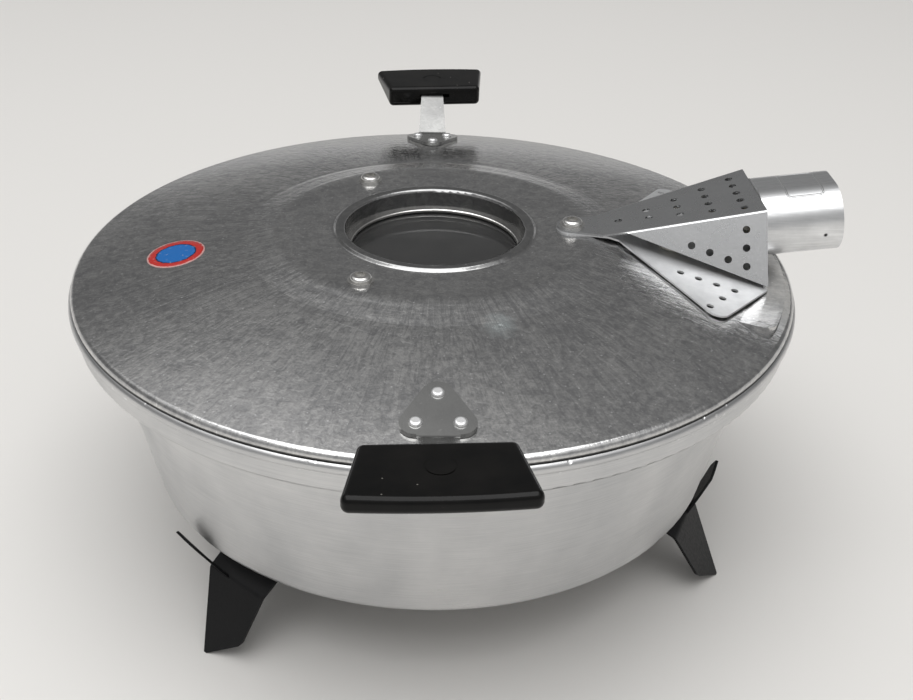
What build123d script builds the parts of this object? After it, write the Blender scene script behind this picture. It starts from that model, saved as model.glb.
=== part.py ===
from build123d import *
from math import acos, atan2, cos, degrees, hypot, radians, sin, sqrt, tan
import os

os.makedirs("parts", exist_ok=True)

# Round electric baking pan: a stand, a pan and a heated lid, all on the Z axis.
# Millimetres. Z = 0 is the table, +X runs through the connector, the handles lie on -Y and +Y.

# Clearances
body_gap = 0.3
fit_gap = 0.1
cut_reach = 5.0

# Stand
strip_width = 31.0
strip_sheet = 1.2
stand_height = 39.2
stand_axis = -77.7
strip_half_angle = 53.0
joggle_play = 1.0
joggle_run = 5.0
dip_start = 19.0
leg_inset = 3.2
leg_top_drop = 12.4
leg_splay = 16.4
leg_bend = 3.0
foot_flat = 1.5
foot_away = 3.5
foot_near = 12.8
foot_rise = 9.0
foot_corner = 3.0
lug_slope = 0.6
lug_height = 15.5
lug_root = 4.0
lug_shoulder = 16.0
lug_reach = 27.0
lug_tip_width = 3.0
stand_rivet_r = 4.0
stand_rivet_head_r = 7.0
stand_rivet_head = 0.8

# Pan
pan_sheet = 1.5
pan_base_r = 122.5
pan_shoulder_r = 136.6
pan_band_r = 148.0
pan_rim_r = 150.0
pan_bead_r = 2.5
pan_wall_height = 70.5
pan_shoulder_rise = 1.8
pan_band_height = 10.3
pan_corner = 4.0
pan_shoulder_round = 2.5

# Lid
lid_sheet = 1.2
lid_rim_r = 148.8
lid_hem = 2.8
lid_hem_round = 2.6
lid_dome_r = 725.0
lid_dome_rise = 18.0
lid_dome_start_r = 80.0
lid_dome_end_r = 143.4
lid_flat_r = 65.0
lid_flat_rise = 16.3
window_r = 37.2
window_roll = 4.0
window_roll_rise = 1.2
window_roll_round = 1.4
window_lip_round = 1.0
lid_flat_round = 30.0
window_depth = 8.6
pad_half_angle = 28.0
pad_rise = 6.2
pad_r = 144.6
pad_corner = 5.0

# Window
bezel_r = 34.8
bezel_outer_r = 40.5
bezel_height = 1.2
seal_height = 0.6
seal_r = 36.4
glass_r = 41.0
glass_thickness = 3.0
retainer_r = 35.6
retainer_outer_r = 49.0
retainer_sheet = 1.2
retainer_rivet_circle = 46.0
retainer_rivet_count = 4
retainer_rivet_turn = 45.0
retainer_rivet_r = 1.2

# Three fixings round the window
fixing_circle = 57.5
fixing_count = 3
fixing_shank_r = 2.0
fixing_flange_r = 5.2
fixing_flange = 0.8
fixing_dome_r = 4.3
fixing_dome = 1.9
fixing_dome_round = 1.52
fixing_hollow_r = 2.2
fixing_hollow = 1.5
spacer_r = 4.0
nut_flats = 7.0
nut_height = 3.2

# Heater under the lid
reflector_sheet = 1.0
reflector_edge_r = 43.0
reflector_flat_r = 66.0
reflector_step_r = 73.0
reflector_step = 4.0
reflector_slope_r = 136.0
reflector_slope_drop = 3.2
reflector_skirt_r = 144.0
reflector_skirt_drop = 5.0
reflector_skirt = 7.5
reflector_round = 1.5
element_circle = 100.0
element_r = 3.5
element_drop = 7.5
element_bend = 5.0
saddle_width = 14.0
saddle_length = 12.0
saddle_wall = 1.5
saddle_count = 3
saddle_turn = 60.0
guard_drop = 14.0
guard_sheet = 1.0
guard_hole_r = 50.0
guard_r = 138.0
guard_slot_count = 24
guard_slot_width = 4.0
guard_slot_in_r = 70.0
guard_slot_out_r = 130.0

# Terminals
terminal_x = 98.0
terminal_r = 1.5
terminal_height = 17.0
bush_r = 3.5
bush_flange_r = 5.0
bush_flange = 1.8
bush_below = 3.0
terminal_nut_flats = 5.5
terminal_nut_height = 2.4
lead_r = 1.2
lead_rise = 2.2
lead_bend = 2.0

# Handles
bracket_sheet = 1.6
bracket_touch_r = 127.0
bracket_in_r = 110.0
bracket_bend_r = 140.0
bracket_apex_r = 5.4
bracket_corner_r = 5.6
strap_root = 7.5
strap_end = 5.6
strap_rise = 14.1
strap_into_grip = 19.0
strap_step = 2.0
strap_low_bend = 4.0
strap_high_bend = 3.0
rivet_apex_r = 118.6
rivet_base_r = 132.7
rivet_half_pitch = 7.4
rivet_shank_r = 1.5
rivet_head_r = 2.4
rivet_head = 1.2
rivet_head_round = 1.08
rivet_tail = 0.9
grip_in_r = 165.0
grip_depth = 28.5
grip_in_width = 48.0
grip_out_width = 58.0
grip_in_height = 10.8
grip_out_height = 5.5
grip_lift = 1.2
grip_bow = 1.8
grip_above_strap = 3.9
grip_round = 2.4
grip_ring_r = 4.9
grip_ring_line = 0.5
grip_ring_depth = 0.2
screw_roof = 1.5
screw_from_face = 13.5
front_grip_turn = 2.3
rear_grip_turn = 5.8
slot_play = 4.4
slot_end_play = 0.8
screw_shank_r = 2.0
screw_head_r = 3.8
screw_head = 2.2

# Connector
shield_sheet = 0.8
tab_r = 6.5
tab_bend_x = 68.8
fold_start_x = 78.0
fold_start_y = 12.4
shield_end_x = 132.0
shield_end_y = 22.0
shield_end_rise = 17.2
fold_round = 1.3
flap_foot_x = 132.4
flap_foot_y = 37.4
flap_lift = 1.4
lower_bend_x = 71.5
lower_slope_x = 80.0
lower_slope_drop = 2.1
lower_tip_x = 107.5
lower_tip_y = 65.0
lower_tip_lift = 0.8
lower_tip_round = 5.0
lower_root_x = 76.0
lower_root_y = 10.5
shield_hole_r = 1.5
shield_row_pitch = 7.4
shield_column_pitch = 12.0
shield_first_column_x = 76.7
shield_columns = 5
edge_hole_row = 4
edge_hole_column = 3
flap_hole_inset = 8.9
flap_hole_rise = 4.9
flap_hole_pitch = 7.8
flap_hole_climb = 7.4
wing_hole_inset = 8.6
wing_hole_rise = 9.9
wing_hole_pitch = 7.5
wing_hole_climb = 9.6
inlet_end_x = 165.3
inlet_end_rise = 26.4
inlet_tilt = 7.0
inlet_half_flat = 5.2
inlet_round = 14.0
inlet_sheet = 1.2
inlet_length = 31.2
inlet_plate_sheet = 1.0
inlet_plate_ledge = 5.0
pin_slot_play = 5.0
insulator_length = 12.0
pin_r = 3.0
pin_shank_r = 2.3
pin_pitch = 19.0
pin_recess = 4.0
pin_tail = 4.0
pin_tip_round = 1.2

# Places worked out from the sizes above
leg_top_r = pan_base_r - leg_inset
leg_foot_r = leg_top_r + leg_splay
leg_top_z = stand_height - leg_top_drop
terminal_y = pin_pitch / 2
joggle_half = joggle_play + strip_width / 2 / tan(radians(min(strip_half_angle, 90 - strip_half_angle)))
pan_base_z = stand_height + body_gap
pan_shoulder_z = pan_base_z + pan_wall_height
pan_band_z = pan_shoulder_z + pan_shoulder_rise
pan_bead_z = pan_band_z + pan_band_height
lid_rim_z = pan_bead_z + pan_bead_r + body_gap
dome_top_z = lid_rim_z + lid_dome_rise
flat_z = lid_rim_z + lid_flat_rise
flat_under_z = flat_z - lid_sheet
roll_z = flat_z + window_roll_rise
collar_z = roll_z - window_depth
pad_z = lid_rim_z + pad_rise
seal_top_z = collar_z - bezel_height
glass_top_z = seal_top_z - seal_height
glass_under_z = glass_top_z - glass_thickness
reflector_z = glass_under_z
element_z = reflector_z - element_drop
guard_z = reflector_z - guard_drop
shield_tab_z = flat_z + 2 * shield_sheet
shield_slope = shield_end_rise / (shield_end_x - tab_bend_x)


def dome_z(r):
    """Height of the lid's domed face, part of a sphere centred on the axis."""
    return dome_top_z - lid_dome_r + sqrt(lid_dome_r ** 2 - r ** 2)


def dome_arc(start_r, end_r, inset=0.0):
    """Arc of the dome between two radii, or of a face parallel to it."""
    radius = lid_dome_r - inset
    start = degrees(acos(start_r / radius))
    end = degrees(acos(end_r / radius))
    return CenterArc((0, dome_top_z - lid_dome_r), radius, start, end - start)


def spun(section):
    """Turn a section drawn in radius and height into a round piece."""
    return revolve(Plane.XZ * section, Axis.Z)


def sheet_section(path, thickness, side):
    """Section of a sheet whose drawn line is one of its two faces."""
    return make_face(offset(path, thickness, side=side))


def ring(inner, outer, low, high):
    return Pos(0, 0, low) * extrude(Circle(outer) - Circle(inner), high - low)


def rod(radius, low, high, x=0.0, y=0.0):
    return Pos(x, y, low) * extrude(Circle(radius), high - low)


def round_the_axis(piece, count, start=0.0):
    """Copies of a piece at equal angles, as separate solids."""
    return [Rot(0, 0, start + 360 * k / count) * piece for k in range(count)]


def flat_piece(points, thickness, towards):
    """A plane sheet through its corner points, thickened to the side of a given point."""
    face = make_face(Polyline(*points, close=True)).face()
    normal = face.normal_at()
    if (Vector(*towards) - face.center()).dot(normal) < 0:
        normal = -normal
    return extrude(face, thickness, dir=normal)


def draped_piece(points, thickness):
    """A plane sheet over its corner points, with upright edges."""
    face = make_face(Polyline(*points, close=True)).face()
    return extrude(face, thickness / abs(face.normal_at().Z), dir=(0, 0, 1))


# Stand

def leg_outline():
    """A leg seen from outside: straight away edge, oblique foot that rises to the near side."""
    half = strip_width / 2
    corners = [
        (half, stand_height + strip_sheet),
        (half, leg_top_z),
        (foot_away, 0),
        (foot_away - foot_flat, 0),
        (-foot_near, foot_rise),
        (-half, leg_top_z + leg_bend),
        (-half, stand_height + strip_sheet),
    ]
    outline = make_face(Polyline(*corners, close=True))
    near_corner = outline.vertices().sort_by_distance((-foot_near, foot_rise))[0]
    return fillet(near_corner, foot_corner)


def lug():
    """Upright lug beside a leg that keeps the pan in its place, at the +X end of a strip."""
    high = leg_top_z + lug_height
    lean = lug_slope * lug_height
    section = Polyline(
        (leg_top_r, leg_top_z),
        (leg_top_r + strip_sheet, leg_top_z),
        (leg_top_r + lean + strip_sheet, high),
        (leg_top_r + lean, high),
        close=True,
    )
    wall = revolve(Plane.XZ * make_face(section), Axis.Z)
    side_view = Polyline(
        (lug_root, leg_top_z),
        (lug_shoulder, leg_top_z),
        (lug_reach, high - lug_tip_width),
        (lug_reach, high),
        (lug_shoulder, high - lug_tip_width),
        close=True,
    )
    return wall & extrude(Plane.YZ * make_face(side_view), 2 * leg_foot_r)


def stand_strip(joggle):
    """One strip: flat bar, two legs and two lugs. The lower strip dips under the upper one."""
    low = stand_height - strip_sheet
    toe_r = leg_foot_r + strip_sheet * leg_splay / leg_top_z
    dip_r = leg_top_r - dip_start
    path = [(-toe_r, -strip_sheet), (-leg_top_r, leg_top_z), (-dip_r, low)]
    if joggle:
        outer = joggle_half + joggle_run
        path += [(-outer, low), (-joggle_half, low - strip_sheet)]
        path += [(joggle_half, low - strip_sheet), (outer, low)]
    path += [(dip_r, low), (leg_top_r, leg_top_z), (toe_r, -strip_sheet)]
    side = sheet_section(FilletPolyline(*path, radius=leg_bend), strip_sheet, Side.LEFT)
    bar = extrude(Plane.XZ * side, strip_width, both=True)
    view = extrude(Plane.YZ * leg_outline(), 2 * leg_foot_r)
    strip = (bar & view) + (bar & (Rot(0, 0, 180) * view))
    for turn in (0, 180):
        strip += Rot(0, 0, turn) * lug()
    strip -= rod(stand_rivet_r + fit_gap, 0, 2 * stand_height)
    return strip


def build_stand():
    lower = Rot(0, 0, stand_axis + strip_half_angle) * stand_strip(True)
    upper = mirror(stand_strip(False), Plane.XZ)
    upper = Rot(0, 0, stand_axis - strip_half_angle) * upper
    bottom = stand_height - 2 * strip_sheet
    rivet = rod(stand_rivet_r, bottom, stand_height)
    rivet += rod(stand_rivet_head_r, bottom - stand_rivet_head, bottom)
    return {"stand_lower_strip": lower, "stand_upper_strip": upper, "stand_rivet": rivet}


# Pan

def build_pan():
    path = FilletPolyline(
        (0, pan_base_z),
        (pan_base_r, pan_base_z),
        (pan_shoulder_r, pan_shoulder_z),
        (pan_band_r, pan_band_z),
        (pan_band_r, pan_bead_z),
        radius=(pan_corner, pan_shoulder_round, pan_shoulder_round),
    )
    section = sheet_section(path, pan_sheet, Side.LEFT)
    bead = Pos(pan_rim_r - pan_bead_r, pan_bead_z) * Circle(pan_bead_r)
    return {"pan": spun(section + bead)}


# Lid

def lid_section():
    dome_start = (lid_dome_start_r, dome_z(lid_dome_start_r))
    dome_end = (lid_dome_end_r, dome_z(lid_dome_end_r))
    crown = FilletPolyline(
        (window_r, collar_z),
        (window_r, roll_z),
        (window_r + window_roll, roll_z),
        (window_r + window_roll + window_roll_rise, flat_z),
        (lid_flat_r, flat_z),
        dome_start,
        radius=(window_roll_round, window_lip_round, window_lip_round, lid_flat_round),
    )
    dome = dome_arc(lid_dome_start_r, lid_dome_end_r)
    hem_z = dome_end[1] - (lid_rim_r - lid_dome_end_r) * lid_dome_end_r / lid_dome_r
    hem = FilletPolyline(dome_end, (lid_rim_r, hem_z), (lid_rim_r, lid_rim_z), radius=lid_hem_round)
    outline = Wire(crown.edges() + dome.edges() + hem.edges())
    return make_face(offset(outline, lid_sheet, side=Side.RIGHT))


def pad_wedge(inset):
    """Wedge between the dome and the flat pad pressed up out of it, or the hollow under the pad."""
    top = pad_z - inset
    inner_r = sqrt((lid_dome_r - inset) ** 2 - (top - dome_top_z + lid_dome_r) ** 2)
    outer_r = pad_r - inset
    arc = dome_arc(inner_r, outer_r, inset)
    edge = Polyline(arc @ 1, (outer_r, top), arc @ 0)
    half_angle = pad_half_angle - degrees(inset / pad_r)
    section = make_face(Wire(arc.edges() + edge.edges()))
    wedge = Rot(0, 0, -half_angle) * revolve(Plane.XZ * section, Axis.Z, 2 * half_angle)
    corners = wedge.edges().filter_by(Axis.Z).group_by(SortBy.DISTANCE)[-1]
    return fillet(corners, pad_corner - inset)


def build_lid():
    shell = spun(lid_section()) + pad_wedge(0) - pad_wedge(lid_sheet)
    hole = rod(fixing_shank_r + fit_gap, collar_z, roll_z + cut_reach, fixing_circle)
    for cut in round_the_axis(hole, fixing_count):
        shell -= cut
    for side in (-1, 1):
        shell -= rod(bush_r + fit_gap, reflector_z, roll_z + cut_reach, terminal_x, side * terminal_y)
    for turn in (0, 180):
        for cut in rivet_holes():
            shell -= Rot(0, 0, turn) * cut
    return {"lid_shell": shell}


def build_window():
    bezel = ring(bezel_r, bezel_outer_r, seal_top_z, collar_z)
    rims = bezel.edges().filter_by(GeomType.CIRCLE).group_by(Axis.Z)[-1]
    bezel = fillet(rims.sort_by(SortBy.RADIUS)[0], bezel_height / 2)
    retainer = ring(retainer_r, retainer_outer_r, glass_under_z - retainer_sheet, glass_under_z)
    bore = rod(retainer_rivet_r + fit_gap, 0, roll_z, retainer_rivet_circle)
    rivet = rod(retainer_rivet_r, reflector_z - retainer_sheet, reflector_z + reflector_sheet)
    rivet += rod(2 * retainer_rivet_r, reflector_z - 2 * retainer_sheet, reflector_z - retainer_sheet)
    rivet = Pos(retainer_rivet_circle, 0, 0) * rivet
    for cut in round_the_axis(bore, retainer_rivet_count, retainer_rivet_turn):
        retainer -= cut
    return {
        "window_bezel": bezel,
        "window_seal": ring(seal_r, glass_r, glass_top_z, seal_top_z),
        "window_glass": rod(glass_r, glass_under_z, glass_top_z),
        "glass_retainer": retainer,
        "retainer_rivets": Compound(
            round_the_axis(rivet, retainer_rivet_count, retainer_rivet_turn)
        ),
    }


def fixing(seat_z, foot_z):
    """Domed fixing with a hollow in its head, its flange seated at seat_z."""
    top = seat_z + fixing_flange
    body = rod(fixing_shank_r, foot_z, seat_z)
    body += rod(fixing_flange_r, seat_z, top)
    dome = rod(fixing_dome_r, top, top + fixing_dome)
    dome = fillet(dome.edges().group_by(Axis.Z)[-1], fixing_dome_round)
    body += dome
    body -= rod(fixing_hollow_r, top + fixing_dome - fixing_hollow, top + fixing_dome + cut_reach)
    return Pos(fixing_circle, 0, 0) * body


def build_fixings():
    foot_z = guard_z - guard_sheet - nut_height
    spacer_face = Circle(spacer_r) - Circle(fixing_shank_r + fit_gap)
    upper_low = reflector_z + reflector_sheet
    upper = Pos(fixing_circle, 0, upper_low) * extrude(spacer_face, flat_under_z - upper_low)
    lower = Pos(fixing_circle, 0, guard_z) * extrude(spacer_face, reflector_z - guard_z)
    nut_face = RegularPolygon(nut_flats / 2, 6, major_radius=False) - Circle(fixing_shank_r + fit_gap)
    nut = Pos(fixing_circle, 0, foot_z) * extrude(nut_face, nut_height)
    seats = [shield_tab_z] + [flat_z] * (fixing_count - 1)
    fixings = [Rot(0, 0, 360 * k / fixing_count) * fixing(seat, foot_z) for k, seat in enumerate(seats)]
    return {
        "lid_fixings": Compound(fixings),
        "upper_spacers": Compound(round_the_axis(upper, fixing_count)),
        "lower_spacers": Compound(round_the_axis(lower, fixing_count)),
        "fixing_nuts": Compound(round_the_axis(nut, fixing_count)),
    }


# Heater

def reflector_slope_z(r):
    """Underside of the reflector's sloping part."""
    start = reflector_z + reflector_step
    return start - (start - reflector_z + reflector_slope_drop) * (r - reflector_step_r) / (
        reflector_slope_r - reflector_step_r
    )


def build_reflector():
    path = FilletPolyline(
        (reflector_edge_r, reflector_z),
        (reflector_flat_r, reflector_z),
        (reflector_step_r, reflector_z + reflector_step),
        (reflector_slope_r, reflector_z - reflector_slope_drop),
        (reflector_skirt_r, reflector_z - reflector_skirt_drop),
        (reflector_skirt_r, reflector_z - reflector_skirt_drop - reflector_skirt),
        radius=reflector_round,
    )
    dish = spun(sheet_section(path, reflector_sheet, Side.LEFT))
    for cut in round_the_axis(rod(fixing_shank_r + fit_gap, 0, roll_z, fixing_circle), fixing_count):
        dish -= cut
    rivet_hole = rod(retainer_rivet_r + fit_gap, 0, roll_z, retainer_rivet_circle)
    for cut in round_the_axis(rivet_hole, retainer_rivet_count, retainer_rivet_turn):
        dish -= cut
    for side in (-1, 1):
        dish -= rod(bush_r + fit_gap, 0, roll_z, terminal_x, side * terminal_y)
    return {"reflector": dish}


def build_element():
    """Tubular element: nearly a full turn, with both cold ends bent up to the terminals."""
    end_angle = degrees(atan2(terminal_y, terminal_x))
    bend_angle = end_angle + degrees(element_bend / element_circle)
    turn = CenterArc((0, 0, element_z), element_circle, bend_angle, 360 - 2 * bend_angle)
    paths = []
    for side in (-1, 1):
        a = radians(side * bend_angle)
        start = Vector(element_circle * cos(a), element_circle * sin(a), element_z)
        along = Vector(sin(a), -cos(a), 0) * side
        corner = start + along * element_bend
        top = corner + Vector(0, 0, element_bend)
        paths.append(TangentArc(start, top, tangent=along))
    path = Wire(paths[1].edges() + turn.edges() + paths[0].edges())
    start_plane = Plane(origin=path @ 0, z_dir=path % 0)
    tube = sweep(start_plane * Circle(element_r), path)
    saddle_low = element_z - element_r - saddle_wall
    out_r = element_circle + saddle_width / 2
    saddle = Pos(element_circle, 0, saddle_low) * Box(
        saddle_width,
        saddle_length,
        reflector_slope_z(out_r) - fit_gap - saddle_low,
        align=(Align.CENTER, Align.CENTER, Align.MIN),
    )
    saddle -= Pos(0, 0, element_z) * Torus(element_circle, element_r + fit_gap)
    return {
        "heating_element": tube,
        "element_saddles": Compound(round_the_axis(saddle, saddle_count, saddle_turn)),
    }


def build_guard():
    plate = ring(guard_hole_r, guard_r, guard_z - guard_sheet, guard_z)
    length = guard_slot_out_r - guard_slot_in_r
    middle = (guard_slot_out_r + guard_slot_in_r) / 2
    slot = Pos(middle, 0, guard_z - guard_sheet) * extrude(
        SlotOverall(length, guard_slot_width), guard_sheet
    )
    cuts = round_the_axis(slot, guard_slot_count, 180 / guard_slot_count)
    cuts += round_the_axis(rod(fixing_shank_r + fit_gap, 0, roll_z, fixing_circle), fixing_count)
    return {"heater_guard": plate - cuts}


def build_terminals():
    element_top = element_z + element_bend
    lid_top = lower_shield_z(terminal_x - bush_flange_r) + shield_sheet + fit_gap
    bush = rod(bush_r, element_top + fit_gap, lid_top)
    bush += rod(bush_flange_r, lid_top + fit_gap, lid_top + fit_gap + bush_flange)
    bush += rod(bush_r, lid_top, lid_top + fit_gap)
    bush -= rod(terminal_r + fit_gap, 0, 2 * roll_z)
    stud = rod(terminal_r, element_top, element_top + terminal_height)
    nut_face = RegularPolygon(terminal_nut_flats / 2, 6, major_radius=False)
    nut_face -= Circle(terminal_r + fit_gap)
    nut_low = lid_top + fit_gap + bush_flange
    nut = Pos(0, 0, nut_low) * extrude(nut_face, terminal_nut_height)
    parts = {"terminal_studs": stud, "terminal_bushes": bush, "terminal_nuts": nut}
    places = [Pos(terminal_x, side * terminal_y, 0) for side in (-1, 1)]
    nodes = {name: Compound([place * piece for place in places]) for name, piece in parts.items()}
    stud_top = element_top + terminal_height
    lead_z = stud_top + lead_rise
    tail = inlet_plane.from_local_coords((0, 0, -inlet_length - inlet_plate_sheet - pin_tail))
    corner_x = tail.X - (tail.Z - lead_z) * inlet_axis.X / inlet_axis.Z
    run = FilletPolyline(
        (terminal_x, stud_top), (terminal_x, lead_z), (corner_x, lead_z), (tail.X, tail.Z), radius=lead_bend
    )
    lead = sweep(Pos(terminal_x, 0, stud_top) * Circle(lead_r), Plane.XZ * run)
    leads = [Pos(0, side * terminal_y, 0) * lead for side in (-1, 1)]
    nodes["heater_leads"] = Compound(leads)
    return nodes


# Handles, drawn on +Y

bracket_slope = bracket_touch_r / sqrt(lid_dome_r ** 2 - bracket_touch_r ** 2)
bracket_tilt = degrees(atan2(bracket_slope, 1))


def bracket_under_z(r):
    """Underside of a bracket's plate, which touches the dome at one radius."""
    return dome_z(bracket_touch_r) - bracket_slope * (r - bracket_touch_r)


def rivet_places(piece):
    """A piece set at each of a bracket's three rivets, square to the plate, for the +Y handle."""
    spots = [(0, rivet_apex_r), (-rivet_half_pitch, rivet_base_r), (rivet_half_pitch, rivet_base_r)]
    return [Pos(x, y, bracket_under_z(y)) * Rot(-bracket_tilt, 0, 0) * piece for x, y in spots]


def rivet_holes():
    """Cutters for a bracket's three rivet holes."""
    return rivet_places(rod(rivet_shank_r + fit_gap, -cut_reach, cut_reach))


strap_z = bracket_under_z(bracket_bend_r) + strap_rise - bracket_sheet
grip_top_z = strap_z + bracket_sheet + grip_above_strap
screw_r = grip_in_r + screw_from_face


def bracket():
    end_r = grip_in_r + strap_into_grip
    path = FilletPolyline(
        (bracket_in_r, bracket_under_z(bracket_in_r)),
        (bracket_bend_r, bracket_under_z(bracket_bend_r)),
        (grip_in_r - strap_step, strap_z),
        (end_r, strap_z),
        radius=(strap_low_bend, strap_high_bend),
    )
    side = sheet_section(path, bracket_sheet, Side.LEFT)
    blank = extrude(Plane.YZ * side, 4 * bracket_apex_r, both=True)
    apex = Pos(0, rivet_apex_r) * Circle(bracket_apex_r)
    corners = [Pos(x, rivet_base_r) * Circle(bracket_corner_r) for x in (-rivet_half_pitch, rivet_half_pitch)]
    plate = make_hull((apex + corners[0] + corners[1]).edges())
    strap = make_face(
        Polyline(
            (-strap_root, rivet_base_r),
            (strap_root, rivet_base_r),
            (strap_end, grip_in_r),
            (strap_end, end_r),
            (-strap_end, end_r),
            (-strap_end, grip_in_r),
            close=True,
        )
    )
    outline = extrude(plate + strap, 2 * roll_z)
    piece = blank & outline
    for cut in rivet_holes():
        piece -= cut
    piece -= rod(screw_shank_r + fit_gap, 0, 2 * roll_z, 0, screw_r)
    return piece


def bracket_rivets():
    rivet = rod(rivet_shank_r, -lid_sheet, bracket_sheet)
    head = rod(rivet_head_r, bracket_sheet, bracket_sheet + rivet_head)
    head = fillet(head.edges().group_by(Axis.Z)[-1], rivet_head_round)
    tail_top = -lid_sheet - 2 * fit_gap
    rivet += head + rod(rivet_shank_r, tail_top, -lid_sheet)
    rivet += rod(rivet_head_r, tail_top - rivet_tail, tail_top)
    return Compound(rivet_places(rivet))


def grip(turn):
    """Moulded grip with a straight inner face and a bowed outer one, turned a little about its screw."""
    out_r = grip_in_r + grip_depth
    out_z = grip_top_z + grip_lift
    side = make_face(
        Polyline(
            (grip_in_r, grip_top_z - grip_in_height),
            (out_r + grip_bow, out_z - grip_out_height),
            (out_r + grip_bow, out_z),
            (grip_in_r, grip_top_z),
            close=True,
        )
    )
    inner = (-grip_in_width / 2, grip_in_r), (grip_in_width / 2, grip_in_r)
    outer = (grip_out_width / 2, out_r), (-grip_out_width / 2, out_r)
    bow = ThreePointArc(outer[0], (0, out_r + grip_bow), outer[1])
    plan = make_face(Polyline(outer[1], *inner, outer[0]) + bow)
    body = extrude(Plane.YZ * side, grip_out_width, both=True) & extrude(plan, 2 * roll_z)
    body = fillet(body.edges(), grip_round)
    slot_end = grip_in_r + strap_into_grip + slot_end_play
    body -= Pos(0, grip_in_r, strap_z - fit_gap) * Box(
        2 * strap_end + slot_play,
        2 * (slot_end - grip_in_r),
        bracket_sheet + 2 * fit_gap,
        align=(Align.CENTER, Align.CENTER, Align.MIN),
    )
    screw_top = grip_top_z - screw_roof
    body -= rod(screw_shank_r + fit_gap, strap_z, screw_top + fit_gap, 0, screw_r)
    body -= rod(screw_head_r + fit_gap, 0, strap_z + fit_gap, 0, screw_r)
    mark = Circle(grip_ring_r) - Circle(grip_ring_r - grip_ring_line)
    mark_z = grip_top_z + grip_lift * screw_from_face / grip_depth - grip_ring_depth
    body -= Pos(0, screw_r, mark_z) * extrude(mark, grip_lift)
    return Pos(0, screw_r, 0) * Rot(0, 0, turn) * Pos(0, -screw_r, 0) * body


def grip_screw():
    head = rod(screw_head_r, strap_z - screw_head, strap_z, 0, screw_r)
    return head + rod(screw_shank_r, strap_z, grip_top_z - screw_roof, 0, screw_r)


def build_handles():
    nodes = {}
    for side, place, turn in (("rear", 0, rear_grip_turn), ("front", 180, front_grip_turn)):
        pieces = {
            "bracket": bracket(),
            "bracket_rivets": bracket_rivets(),
            "grip": grip(turn),
            "grip_screw": grip_screw(),
        }
        nodes.update({f"{side}_{name}": Rot(0, 0, place) * piece for name, piece in pieces.items()})
    return nodes


# Connector, along +X

inlet_origin = Vector(inlet_end_x, 0, lid_rim_z + inlet_end_rise)
inlet_axis = Vector(cos(radians(inlet_tilt)), 0, sin(radians(inlet_tilt)))
inlet_plane = Plane(origin=inlet_origin, x_dir=(0, 1, 0), z_dir=inlet_axis)


def shield_z(x):
    """Top face of the upper shield."""
    return shield_tab_z + max(0.0, x - tab_bend_x) * shield_slope


def lower_shield_z(x):
    """Underside of the lower shield."""
    end_z = pad_z + body_gap
    slope_z = flat_z - lower_slope_drop
    if x < lower_slope_x:
        return flat_z - lower_slope_drop * max(0.0, x - lower_bend_x) / (lower_slope_x - lower_bend_x)
    return slope_z - (slope_z - end_z) * (x - lower_slope_x) / (flap_foot_x - lower_slope_x)


flap_foot_z = lower_shield_z(flap_foot_x) + shield_sheet + flap_lift


def edge_holes(foot, row_end, column_end, inset, rise, pitch, climb):
    """Holes in a row along the lower edge of a flap and in a column along its end."""
    foot, row_end, column_end = Vector(*foot), Vector(*row_end), Vector(*column_end)
    row = (row_end - foot).normalized()
    column = (column_end - foot).normalized()
    normal = row.cross(column).normalized()
    first = foot + row * inset + column * rise
    centres = [first + row * pitch * k for k in range(edge_hole_row)]
    centres += [first + column * climb * k for k in range(1, edge_hole_column)]
    depth = 3 * shield_sheet
    return [extrude(Plane(origin=c, z_dir=normal) * Circle(shield_hole_r), depth, both=True) for c in centres]


def build_upper_shield():
    start_z = shield_z(fold_start_x)
    end_z = shield_z(shield_end_x)
    path = Polyline((fixing_circle - tab_r, shield_tab_z), (tab_bend_x, shield_tab_z), (shield_end_x, end_z))
    side = sheet_section(path, shield_sheet, Side.RIGHT)
    blank = extrude(Plane.XZ * side, 2 * shield_end_y, both=True)
    tab = Pos(fixing_circle, 0) * Circle(tab_r)
    outline = make_face(
        Polyline(
            (fixing_circle, -tab_r),
            (fold_start_x, -fold_start_y),
            (shield_end_x, -shield_end_y),
            (shield_end_x, shield_end_y),
            (fold_start_x, fold_start_y),
            (fixing_circle, tab_r),
            close=True,
        )
    )
    shield = blank & extrude(tab + outline, 2 * roll_z)
    cuts = [rod(fixing_shank_r + fit_gap, 0, 2 * roll_z, fixing_circle)]
    for side in (-1, 1):
        start = (fold_start_x, side * fold_start_y, start_z)
        end = (shield_end_x, side * shield_end_y, end_z)
        foot = (flap_foot_x, side * flap_foot_y, flap_foot_z)
        inside = (shield_end_x, 0, flap_foot_z)
        shield += flat_piece([start, end, foot], shield_sheet, inside)
        middle = (Vector(*start) + Vector(*end)) / 2
        fold = shield.edges().sort_by_distance(middle)[0]
        shield = fillet(fold, fold_round)
        cuts += edge_holes(
            foot, start, end, flap_hole_inset, flap_hole_rise, flap_hole_pitch, flap_hole_climb
        )
    for column in range(shield_columns):
        x = shield_first_column_x + column * shield_column_pitch
        for k in range(column + 1):
            y = (k - column / 2) * shield_row_pitch
            cuts.append(rod(shield_hole_r, roll_z, 2 * roll_z, x, y))
    return shield - cuts


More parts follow.
